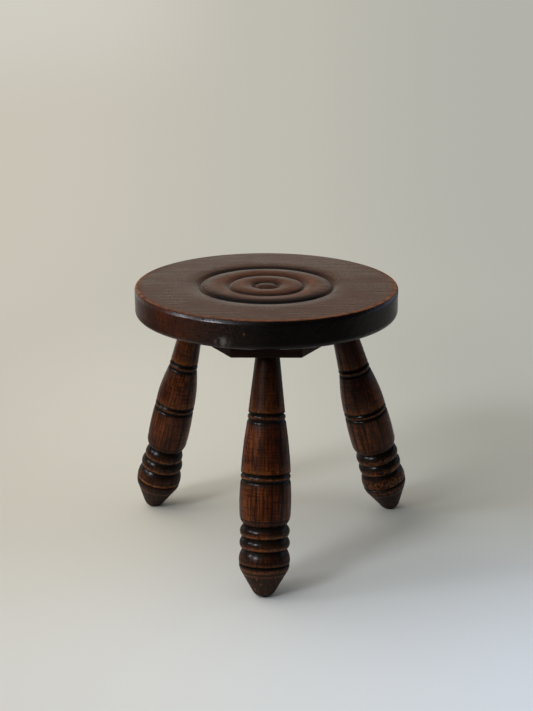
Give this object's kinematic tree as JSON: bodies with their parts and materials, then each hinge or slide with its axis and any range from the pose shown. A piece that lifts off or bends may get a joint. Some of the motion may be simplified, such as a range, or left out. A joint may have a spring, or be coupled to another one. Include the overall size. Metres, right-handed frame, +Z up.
{
  "type": "three-legged turned stool",
  "caption": "Low round wooden stool with turned rings in its seat, a block under the seat and raked turned legs.",
  "frame": {"origin": "on the floor, under the axis of the round seat", "axes": "+Z up, square to the flat top of the seat; -Y towards the front leg, +X to the right of someone who looks at that leg"},
  "size_m": [0.3166, 0.3077, 0.292],
  "materials": {
    "seat_wood": "dark stained and waxed",
    "block_wood": "dark stained, matt",
    "leg_wood": "dark stained and waxed, worn on the crests",
    "wedge_wood": "bare",
    "screw_steel": "dull"
  },
  "bodies": {
    "root": {"seat": "seat_wood", "under_block": "block_wood", "leg_front": "leg_wood", "leg_left": "leg_wood", "leg_right": "leg_wood", "wedge_front": "wedge_wood", "wedge_left": "wedge_wood", "wedge_right": "wedge_wood", "block_screw_1": "screw_steel", "block_screw_2": "screw_steel", "block_screw_3": "screw_steel"}
  },
  "joints": []
}
